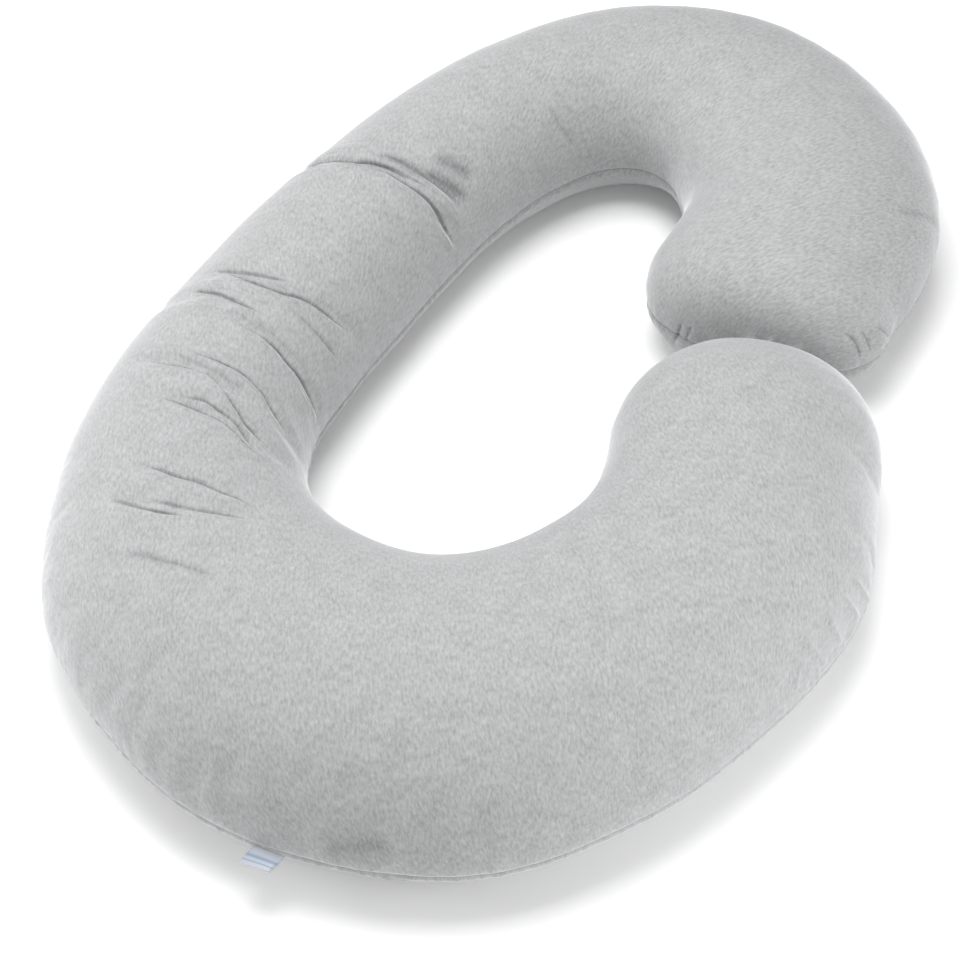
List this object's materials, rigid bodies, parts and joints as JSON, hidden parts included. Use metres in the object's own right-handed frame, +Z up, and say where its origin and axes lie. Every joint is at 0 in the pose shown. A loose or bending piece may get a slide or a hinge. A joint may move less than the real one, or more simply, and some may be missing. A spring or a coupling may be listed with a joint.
{
  "type": "pregnancy pillow",
  "caption": "C-shaped stuffed body pillow in heathered grey jersey with a perimeter seam and a side tag, lying flat to curl up inside.",
  "frame": {"origin": "on the floor, under the middle of the box round the pillow and its tag", "axes": "+Y along the pillow's length to the head end, +X to the mouth of the C, +Z up"},
  "size_m": [0.9242, 1.3874, 0.2153],
  "materials": {
    "grey_jersey": "light grey heathered cotton jersey, fine vertical streaks",
    "white_satin": "white satin ribbon with plain pale blue bands"
  },
  "bodies": {
    "root": {"pillow": "grey_jersey", "side_tag": "white_satin"}
  },
  "joints": []
}
